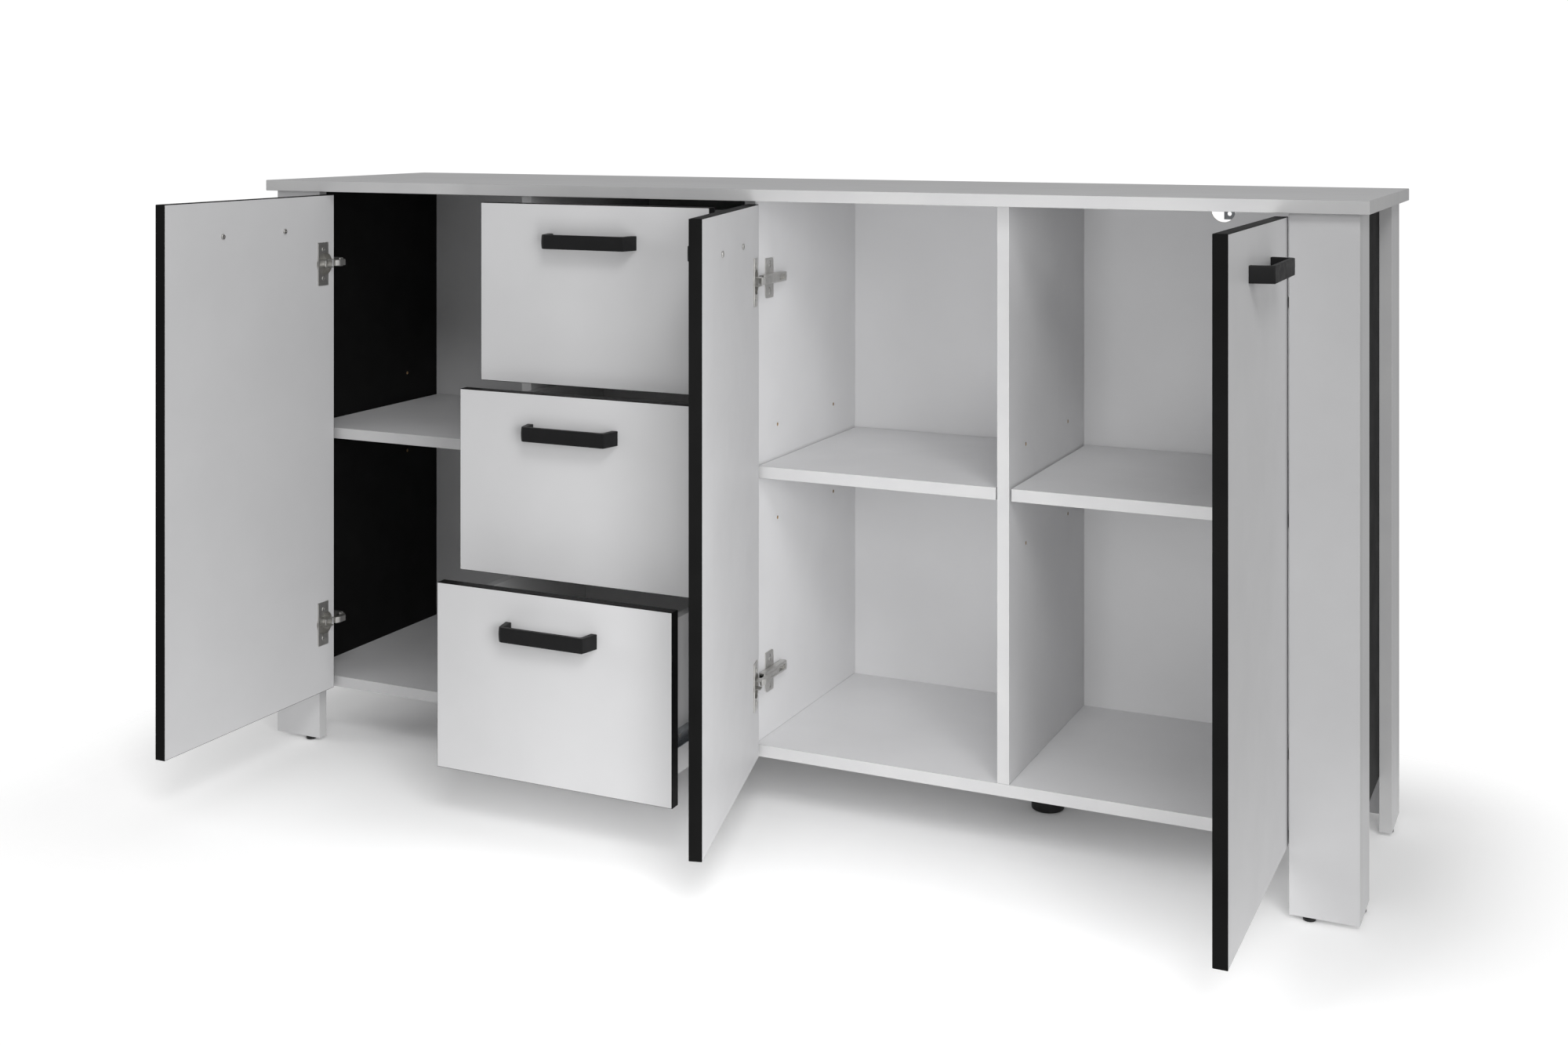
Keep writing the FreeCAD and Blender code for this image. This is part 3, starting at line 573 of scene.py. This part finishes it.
def barHandle():
    far, deep, thin = handle["length"], handle["projection"], handle["bar"]
    flare, heel = handle["flare"], handle["foot"]
    outline = [(0, deep), (flare, 0), (far - flare, 0), (far, deep), (far - heel, deep),
               (far - flare - thin, thin), (flare + thin, thin), (heel, deep)]
    bends = [(outline[1], handle["bend"]), (outline[2], handle["bend"]),
             (outline[5], handle["innerBend"]), (outline[6], handle["innerBend"])]
    piece = profile(outline, 0, handle["height"], "Z", blackCoat, 0, bends)
    pick(piece)
    bpy.ops.object.mode_set(mode="EDIT")
    for share in (0.2, 0.4, 0.6, 0.8):  # rings that let the ends swell
        bpy.ops.mesh.select_all(action="SELECT")
        bpy.ops.mesh.bisect(plane_co=(0, 0, handle["height"] * share * mm), plane_no=(0, 0, 1), use_fill=False)
    bpy.ops.object.mode_set(mode="OBJECT")
    half = handle["height"] / 2 * mm
    for vertex in piece.data.vertices:
        rise = 1 - ((vertex.co.z - half) / half) ** 2
        outside = vertex.co.x < flare * mm * 1.9 or vertex.co.x > (far - flare * 1.9) * mm
        if outside and vertex.co.y < (deep - 0.1) * mm:
            side = -1 if vertex.co.x < far / 2 * mm else 1
            vertex.co.x += side * handle["swell"] * mm * (rise - 0.6)
    applyModifier(piece, "BEVEL", width=handle["edge"] * mm, segments=3, limit_method="ANGLE",
                  angle_limit=math.radians(50))
    return moved(piece, -far / 2, -deep, -handle["height"] / 2)  # feet at y 0, centred


handlePattern = barHandle()
shelve(handlePattern)
print("handle and screws modelled")

# doors

door = {"edge": 5, "depth": 5.5, "thickness": 16, "hingeFromEnd": 102, "handleDrop": 49,
        "cupRadius": 17.5, "cupDepth": 11.5, "cupInset": 22}
doorLow, doorHigh = boxOf("left_door_panel")[0][2], boxOf("left_door_panel")[1][2]
hingeLevels = [doorLow + door["hingeFromEnd"], doorHigh - door["hingeFromEnd"]]
handleLevel = doorHigh - door["handleDrop"]
doorWidths = {"left": 349.5, "middle": 351.0, "right": 349.5}
doorAngles = {"left": 90, "middle": 75, "right": 90}


def frontPanel(low, high):
    # light melamine faces, black band on all four edges
    return board(low, high, "Y", frontBoard, darkBand, 0.8)


def hingeCup(level):
    # pressed cup, flange with two screws, lugs and their rivet
    inner = door["thickness"] - door["depth"]
    x = door["cupInset"] - door["edge"]
    body = disc((x, inner - door["cupDepth"], level), door["cupRadius"] - 0.1, door["cupDepth"] + 0.6, "Y",
                nickel, 56, 0.4)
    carve(body, disc((x, inner - door["cupDepth"] + 1, level), door["cupRadius"] - 1.1, door["cupDepth"] + 3, "Y",
                     nickel, 56))
    flange = block((9.4, inner, level - 32), (33, inner + 1.2, level + 32), nickel)
    for spot in ((9.4, level - 32), (9.4, level + 32), (33, level - 32), (33, level + 32)):
        bendEdge(flange, Vector((spot[0] * mm, 0, spot[1] * mm)), (0, 1, 0), 3.0, 4)
    applyModifier(flange, "BEVEL", width=0.3 * mm, segments=2, limit_method="ANGLE", angle_limit=math.radians(50))
    carve(flange, disc((x, inner - 1, level), door["cupRadius"] - 1.1, 6, "Y", nickel, 56))
    ridge = block((30.6, inner + 0.9, level - 31), (32.6, inner + 1.9, level + 31), nickel, 0.4)
    lugs = [block((3, inner - 8.5, low), (17, inner + 6.5, low + 1.5), nickel, 0.5)
            for low in (level + 4.8, level - 6.3)]
    rivet = disc((9, inner - 4.5, level - 6.6), 1.5, 13.2, "Z", nickel, 20, 0.3)
    screws = [copyOf(hingeScrew, 20.8, inner + 1.2, level + offset) for offset in (-21.5, 21.5)]
    return weld(body, flange, ridge, *lugs, rivet, *screws)


cupPattern = hingeCup(0)
shelve(cupPattern)


def hangDoor(piece, side):
    # from the drawing of a closed left-hand door, pivot at the origin, to its place in the cabinet
    pivot = joints[f"{side}_door_swing"]["pos_m"]
    if side == "right":
        piece.scale = (-1, 1, 1)
        applyPlace(piece)
        faceOutwards(piece)
    turn = doorAngles[side] * (1 if side == "right" else -1)
    piece.rotation_euler = (0, 0, math.radians(turn))
    piece.location = (pivot[0], pivot[1], 0)
    return applyPlace(piece)


for side in ("left", "middle", "right"):
    width = doorWidths[side]
    centre = width / 2 - door["edge"]
    inner = door["thickness"] - door["depth"]
    panel = frontPanel((-door["edge"], -door["depth"], doorLow), (width - door["edge"], inner, doorHigh))
    cups = [disc((door["cupInset"] - door["edge"], inner - door["cupDepth"], level), door["cupRadius"],
                 door["cupDepth"] + 2, "Y", chipboard, 56) for level in hingeLevels]
    holes = [disc((centre + sign * handle["spacing"] / 2, -door["depth"] - 1, handleLevel), 2.5,
                  door["thickness"] + 2, "Y", chipboard, 24) for sign in (-1, 1)]
    carve(panel, *cups, *holes)
    finishPiece(hangDoor(panel, side), side + "DoorPanel", [side + "_door_panel"])
    grip = copyOf(handlePattern, centre, -door["depth"], handleLevel)
    finishPiece(hangDoor(grip, side), side + "DoorHandle", [side + "_door_handle"])
    screws = weld(*[copyOf(handleScrew, centre + sign * handle["spacing"] / 2, inner, handleLevel)
                    for sign in (-1, 1)])
    finishPiece(hangDoor(screws, side), side + "DoorHandleScrews", [side + "_door_handle_screws"])
    hinges = weld(*[copyOf(cupPattern, 0, 0, level) for level in hingeLevels])
    finishPiece(hangDoor(hinges, side), side + "DoorHingeCups", [side + "_door_hinge_cups"])
print("doors done")

# hinge arms and mounting plates, drawn from the closed door's hinge edge and the legs' front

hinge = {"armHeight": 13, "armFront": 24, "armRound": 1.4, "slotHalfHeight": 3.2,
         "hookInner": 17.5, "hookTip": 6.5, "hookHeight": 8.6}
sideArm = {"inner": 8.5, "outer": 17.5, "rear": 95, "screwSink": 0.3}
postArm = {"left": -46.5, "right": 15.5, "depth": 9, "slotLeft": -38, "slotRight": -16, "screws": (-21, -31)}
postPlate = {"left": -47, "right": -23, "front": 16, "round": 0.8, "screwSink": 0.2}
mountingPlate = {"thickness": 2, "front": 47, "rear": 71, "halfHeight": 27, "corner": 4.0, "bevel": 0.4,
                 "screwFromMiddle": 16, "slotFromMiddle": 18, "slotHalfWidth": 2.5, "slotHalfHeight": 5}


def gooseneck(level):
    a, f, tip = hinge["hookInner"], hinge["armFront"], hinge["hookTip"]
    outline = [(a - 8, f), (a - 8, f + 9), (a, f + 9), (a + 8, f + 1), (a + 8, tip + 6),
               (a + 4, tip), (a + 1, tip), (a, tip + 4), (a, f - 2), (a - 2, f)]
    bends = [(outline[4], 2.0), (outline[3], 2.0), (outline[8], 1.0)]
    return profile(outline, level - hinge["hookHeight"] / 2, hinge["hookHeight"], "Z", nickel, 0.5, bends)


def armScrew(x, y, z):
    # adjusting screw seen end on, facing +X
    return copyOf(hingeScrew, x, y, z, (0, 0, -math.pi / 2))


def partitionHinge(level):
    low, high = level - hinge["armHeight"] / 2, level + hinge["armHeight"] / 2
    inner = sideArm["inner"]
    channel = block((inner, hinge["armFront"], low), (sideArm["outer"], sideArm["rear"], high), nickel,
                    hinge["armRound"], 3)
    slot = block((14.5, 69, level - hinge["slotHalfHeight"]), (19, 89, level + hinge["slotHalfHeight"]), nickel, 0)
    carve(channel, slot)
    grooves = [block((17.0, 30, z), (18, 64, z + 0.8), nickel) for z in (level - 3.4, level + 2.6)]
    carve(channel, *grooves)
    end = disc((14, 92, level), 3.0, 3.4, "X", nickel, 24, 0.4)
    arm = weld(gooseneck(level), channel, end, armScrew(14.4, 73.5, level), armScrew(14.4, 83, level))
    front, rear = mountingPlate["front"], mountingPlate["rear"]
    middle = (front + rear) / 2
    bottom, top = level - mountingPlate["halfHeight"], level + mountingPlate["halfHeight"]
    plate = block((inner - mountingPlate["thickness"], front, bottom), (inner, rear, top), nickel)
    for y in (front, rear):
        for z in (bottom, top):
            bendEdge(plate, Vector((0, y * mm, z * mm)), (1, 0, 0), mountingPlate["corner"], 4)
    applyModifier(plate, "BEVEL", width=mountingPlate["bevel"] * mm, segments=2, limit_method="ANGLE",
                  angle_limit=math.radians(50))
    slotFront, slotRear = middle - mountingPlate["slotHalfWidth"], middle + mountingPlate["slotHalfWidth"]
    for s in (-1, 1):
        slotMiddle = level + s * mountingPlate["slotFromMiddle"]
        slotLow, slotHigh = slotMiddle - mountingPlate["slotHalfHeight"], slotMiddle + mountingPlate["slotHalfHeight"]
        carve(plate, profile([(slotFront, slotLow), (slotRear, slotLow), (slotRear, slotHigh), (slotFront, slotHigh)],
                             5, 6, "X", nickel))
    screws = [copyOf(hingeScrew, inner - sideArm["screwSink"], middle, level + s * mountingPlate["screwFromMiddle"],
                     (0, 0, -math.pi / 2)) for s in (-1, 1)]
    return arm, weld(plate, *screws)


def postHinge(level):
    low, high = level - hinge["armHeight"] / 2, level + hinge["armHeight"] / 2
    slotLow, slotHigh = level - hinge["slotHalfHeight"], level + hinge["slotHalfHeight"]
    bottom, top = level - mountingPlate["halfHeight"], level + mountingPlate["halfHeight"]
    front = hinge["armFront"]
    channel = block((postArm["left"], front, low), (postArm["right"], front + postArm["depth"], high), nickel,
                    hinge["armRound"], 3)
    carve(channel, block((postArm["slotLeft"], 30.5, slotLow), (postArm["slotRight"], 36, slotHigh), nickel))
    arm = weld(gooseneck(level), channel, *[copyOf(hingeScrew, x, 30.4, level) for x in postArm["screws"]])
    plate = block((postPlate["left"], postPlate["front"], bottom), (postPlate["right"], front, top), nickel,
                  postPlate["round"], 2)
    middle = (postPlate["left"] + postPlate["right"]) / 2
    screws = [copyOf(hingeScrew, middle, front - postPlate["screwSink"], level + s * mountingPlate["screwFromMiddle"])
              for s in (-1, 1)]
    return arm, weld(plate, *screws)


legFront = boxOf("front_left_leg")[0][1]
legInner = boxOf("front_left_leg")[1][0]
closedEdges = {"left": legInner + 3, "middle": 1.5, "right": -legInner - 3}
arms, plates = [], []
for side, build in (("left", postHinge), ("middle", partitionHinge), ("right", postHinge)):
    for level in hingeLevels:
        for piece, kept in zip(build(level), (arms, plates)):
            if side == "right":
                piece.scale = (-1, 1, 1)
                applyPlace(piece)
                faceOutwards(piece)
            kept.append(moved(piece, closedEdges[side], legFront))
finishPiece(weld(*arms), "hingeArms", ["hinge_arms"])
finishPiece(weld(*plates), "hingePlates", ["hinge_plates"])
print("hinges done")

# drawers

drawer = {"handleDrop": 49}
runner = {"railDepth": 10, "wall": 1.5, "railHeight": 27, "slideDepth": 10.4, "slideWall": 1.2,
          "frontScrew": 37, "middleScrew": 165, "rearScrew": 35}

for name in ("upper_drawer", "middle_drawer", "lower_drawer"):
    low, high = boxOf(name + "_front")
    title = camel(name)
    centre, level = (low[0] + high[0]) / 2, high[2] - drawer["handleDrop"]
    front = frontPanel(low, high)
    holes = [disc((centre + sign * handle["spacing"] / 2, low[1] - 1, level), 2.5, 18, "Y", chipboard, 24)
             for sign in (-1, 1)]
    carve(front, *holes)
    finishPiece(front, title + "Front", [name + "_front"])
    grip = copyOf(handlePattern, centre, low[1], level)
    finishPiece(grip, title + "Handle", [name + "_handle"])
    screws = weld(*[copyOf(handleScrew, centre + sign * handle["spacing"] / 2, high[1], level)
                    for sign in (-1, 1)])
    finishPiece(screws, title + "HandleScrews", [name + "_handle_screws"])
    floorLow, floorHigh = boxOf(name + "_floor")
    for hand in ("left", "right"):
        sideLow, sideHigh = boxOf(f"{name}_{hand}_side")
        side = board(sideLow, sideHigh, "X", drawerBoard, lightBand, 0.5)
        groove = block((floorLow[0] - 0.5, floorLow[1] - 1, floorLow[2]),
                       (floorHigh[0] + 0.5, floorHigh[1] + 0.5, floorHigh[2]), chipboard)
        finishPiece(carve(side, groove), f"{title}{hand.capitalize()}Side", [f"{name}_{hand}_side"])
    rearLow, rearHigh = boxOf(name + "_back")
    rear = board(rearLow, rearHigh, "Y", drawerBoard, lightBand, 0.5)
    groove = block((floorLow[0] - 1, floorLow[1] - 1, floorLow[2]),
                   (floorHigh[0] + 1, floorHigh[1] + 0.5, floorHigh[2]), chipboard)
    finishPiece(carve(rear, groove), title + "Back", [name + "_back"])
    base = board(floorLow, floorHigh, "Z", hardboard, hardboard, 0.2)
    finishPiece(base, title + "Floor", [name + "_floor"])

    # moving member of each runner: a rolled C with the screw heads that hold it to the drawer's side
    slideLow, slideHigh = boxOf(name + "_slides")
    slides = []
    for hand in (-1, 1):
        x0 = slideLow[0] if hand < 0 else slideHigh[0]
        out = -hand
        z0, z1 = slideLow[2], slideHigh[2]
        w = runner["slideWall"]
        outer = x0 + out * runner["slideDepth"]
        outline = [(outer, z0), (outer, z1), (x0, z1), (x0, z1 - w), (outer - out * w, z1 - w),
                   (outer - out * w, z0 + w), (x0, z0 + w), (x0, z0)]
        member = profile(outline, slideLow[1], slideHigh[1] - slideLow[1], "Y", zinc, 0.35, (), 2)
        heads = []
        for y in (slideLow[1] + runner["frontScrew"], slideLow[1] + runner["middleScrew"],
                  slideHigh[1] - runner["rearScrew"]):
            heads.append(copyOf(hingeScrew, outer - out * w, y, (z0 + z1) / 2, (0, 0, out * math.pi / 2)))
        slides.append(weld(member, *heads))
    finishPiece(weld(*slides), title + "Slides", [name + "_slides"])

# fixed member: C channel screwed to the partitions
railLow, railHigh = boxOf("drawer_rails")
rails = []
for name in ("upper_drawer", "middle_drawer", "lower_drawer"):
    slideLow, slideHigh = boxOf(name + "_slides")
    level = (slideLow[2] + slideHigh[2]) / 2
    for hand in (-1, 1):
        wall = railLow[0] if hand < 0 else railHigh[0]
        out = -hand
        z0, z1 = level - runner["railHeight"] / 2, level + runner["railHeight"] / 2
        w, d = runner["wall"], runner["railDepth"]
        outline = [(wall, z0), (wall, z1), (wall + out * d, z1), (wall + out * d, z1 - w), (wall + out * w, z1 - w),
                   (wall + out * w, z0 + w), (wall + out * d, z0 + w), (wall + out * d, z0)]
        channel = profile(outline, railLow[1], railHigh[1] - railLow[1], "Y", zinc, 0.35, (), 2)
        heads = [copyOf(hingeScrew, wall + out * (w - 0.6), y, level, (0, 0, -out * math.pi / 2))
                 for y in (railLow[1] + 35, railLow[1] + 131, railHigh[1] - 40)]
        rails.append(weld(channel, *heads))
finishPiece(weld(*rails), "drawerRails", ["drawer_rails"])
print("drawers and runners done")

# wall brackets, back nails and dowels

bracket = {"width": 15, "thickness": 2, "holeRadius": 3, "holeLift": 8, "corner": 3.0}
low, high = boxOf("wall_brackets")
brackets = []
for x in (low[0] + bracket["width"] / 2, high[0] - bracket["width"] / 2):
    outline = [(low[1], high[2]), (high[1], high[2]), (high[1], low[2]), (high[1] - bracket["thickness"], low[2]),
               (high[1] - bracket["thickness"], high[2] - bracket["thickness"]),
               (low[1], high[2] - bracket["thickness"])]
    angle = profile(outline, x - bracket["width"] / 2, bracket["width"], "X", zinc, 0.3,
                    [(outline[1], 1.2), (outline[4], 0.8)])
    for edgeX in (x - bracket["width"] / 2, x + bracket["width"] / 2):
        bendEdge(angle, Vector((edgeX * mm, 0, low[2] * mm)), (0, 1, 0), bracket["corner"], 5)
    hole = disc((x, high[1] - 5, low[2] + bracket["holeLift"]), bracket["holeRadius"], 8, "Y", zinc, 32)
    carve(angle, hole)
    brackets.append(angle)
finishPiece(weld(*brackets), "wallBrackets", ["wall_brackets"])

nail = {"perUpright": 5, "inset": 40, "perBay": 2, "radius": 3, "height": 0.8}
backRear = boxOf("back_panel")[1][1]
bottomLow, bottomHigh = boxOf("bottom_board")
column = legInner / -2
uprightLow, uprightHigh = bottomHigh[2] + nail["inset"], boxOf("left_partition")[1][2] - nail["inset"]
spots = [(x, uprightLow + (uprightHigh - uprightLow) * step / (nail["perUpright"] - 1))
         for x in (-column, 0, column) for step in range(nail["perUpright"])]
spots += [(legInner + (bay + step / (nail["perBay"] + 1)) * column, (bottomLow[2] + bottomHigh[2]) / 2)
          for bay in range(4) for step in range(1, nail["perBay"] + 1)]
pattern = disc((0, 0, 0), nail["radius"], nail["height"], "Y", zinc, 20, 0.3, 2)
nails = [copyOf(pattern, x, backRear, z) for x, z in spots]
bpy.data.objects.remove(pattern)
finishPiece(weld(*nails), "backPanelNails", ["back_panel_nails"])

dowels = frame["nodes"]["carcass_dowels"]
dowels.data.materials.clear()
dowels.data.materials.append(beech)
print("small fittings done")

# floor, light and camera

stage = {
    "size": 8.0,                # m, floor sheet
    "fadeStart": 0.0,           # m out from the cabinet where the floor begins to melt into the backdrop
    "fadeEnd": 0.36,
    # emission strength of the floor's painted light, outside the painted shadow under the carcass
    "glow": 0.40,
    "paintedGlowReach": 0.42,          # m out from the carcass where the floor's painted glow reaches full strength
    "bodyMiddle": 0.17,
    "bodyHalf": (0.62, 0.10),
    "ambient": 0.34,
    "backdrop": 1.05,
    "highKey": 98.0,            # W
    "lowKey": 84.0,
    "leftFill": 43.0,
    "bayFill": 3.6,
}
floorFinish, tree, shader, place = newFinish("glowingStudioFloorPaintedLight", Roughness=0.95, Specular_IOR_Level=0.0,
                                             Emission_Color=(1, 1, 1, 1), Emission_Strength=0)
mottle(tree, shader, place, ("#F4F4F4", "#FAFAFA"), 900)

def distanceFrom(tree, place, centre, half):
    offset = addNode(tree, "ShaderNodeVectorMath", {1: centre}, {0: place}, operation="SUBTRACT").outputs["Vector"]
    size = addNode(tree, "ShaderNodeVectorMath", {}, {0: offset}, operation="ABSOLUTE").outputs["Vector"]
    past = addNode(tree, "ShaderNodeVectorMath", {1: half}, {0: size}, operation="SUBTRACT").outputs["Vector"]
    clipped = addNode(tree, "ShaderNodeVectorMath", {1: (0, 0, 0)}, {0: past}, operation="MAXIMUM").outputs["Vector"]
    return addNode(tree, "ShaderNodeVectorMath", {}, {0: clipped}, operation="LENGTH").outputs["Value"]


# painted light: the floor glows more the further it is from the carcass, so the dark under the carcass is a painted
# shadow; away from the cabinet the floor melts into the backdrop
underneath = distanceFrom(tree, place, (0, stage["bodyMiddle"], 0), (*stage["bodyHalf"], 0))
glow = addNode(tree, "ShaderNodeMapRange", {"From Min": 0, "From Max": stage["paintedGlowReach"], "To Max": stage["glow"]},
               {"Value": underneath}).outputs["Result"]
tree.links.new(glow, shader.inputs["Emission Strength"])
outside = distanceFrom(tree, place, (0, 0, 0), (cadBox[1][0], cadBox[1][1], 0))
fade = addNode(tree, "ShaderNodeMapRange", {"From Min": stage["fadeStart"], "From Max": stage["fadeEnd"]},
               {"Value": outside}, interpolation_type="SMOOTHSTEP").outputs["Result"]
clear = addNode(tree, "ShaderNodeBsdfTransparent", {})
melt = addNode(tree, "ShaderNodeMixShader", {}, {0: fade, 1: shader.outputs["BSDF"], 2: clear.outputs["BSDF"]})
surface = next(node for node in tree.nodes if node.type == "OUTPUT_MATERIAL").inputs["Surface"]
tree.links.new(melt.outputs["Shader"], surface)
deselectAll()
bpy.ops.mesh.primitive_plane_add(size=stage["size"], location=(0, 0, -0.0005))
floor = bpy.context.object
floor.name = "studioFloor"
floor.data.materials.append(floorFinish)

# a white backdrop all round that gives only a weak ambient light
world = bpy.data.worlds.new("softStudio")
bpy.context.scene.world = world
world.use_nodes = True
worldTree = world.node_tree
direct = addNode(worldTree, "ShaderNodeLightPath").outputs["Is Camera Ray"]
level = addNode(worldTree, "ShaderNodeMapRange", {"To Min": stage["ambient"], "To Max": stage["backdrop"]},
                {"Value": direct})
worldTree.links.new(level.outputs["Result"], worldTree.nodes["Background"].inputs["Strength"])
worldTree.nodes["Background"].inputs["Color"].default_value = (1, 1, 1, 1)


def softbox(name, place, target, size, power):
    data = bpy.data.lights.new(name, "AREA")
    data.shape, data.size, data.size_y, data.energy = "RECTANGLE", size[0], size[1], power
    lamp = bpy.data.objects.new(name, data)
    bpy.context.scene.collection.objects.link(lamp)
    lamp.location = place
    lamp.rotation_euler = (Vector(target) - Vector(place)).to_track_quat("-Z", "Y").to_euler()
    return lamp


softbox("highKeySoftbox", (2.72, -3.89, 4.39), (0, 0, 0.4), (2.2, 1.8), stage["highKey"])
softbox("lowKeySoftbox", (4.51, -4.06, 1.69), (0, 0, 0.4), (2.2, 1.8), stage["lowKey"])
softbox("leftFillSoftbox", (-5.70, -2.07, 1.69), (0, 0, 0.4), (2.2, 1.8), stage["leftFill"])
bayFill = softbox("bayFillSoftbox", (0.40, -0.75, 0.50), (0.15, 0.30, 0.45), (0.3, 0.6), stage["bayFill"])
bayFill.visible_camera = False
bayFill.visible_glossy = False

cameraData = bpy.data.cameras.new("camera")
camera = bpy.data.objects.new("camera", cameraData)
bpy.context.scene.collection.objects.link(camera)
cameraData.lens, cameraData.sensor_width = 42.04, 36
cameraData.shift_x, cameraData.shift_y = 0.0075, -0.2597
camera.location = (1.0750, -2.2142, 0.9377)
camera.rotation_euler = (math.radians(90), 0, math.radians(25.27))
bpy.context.scene.camera = camera
bpy.context.scene.view_settings.view_transform = "Standard"
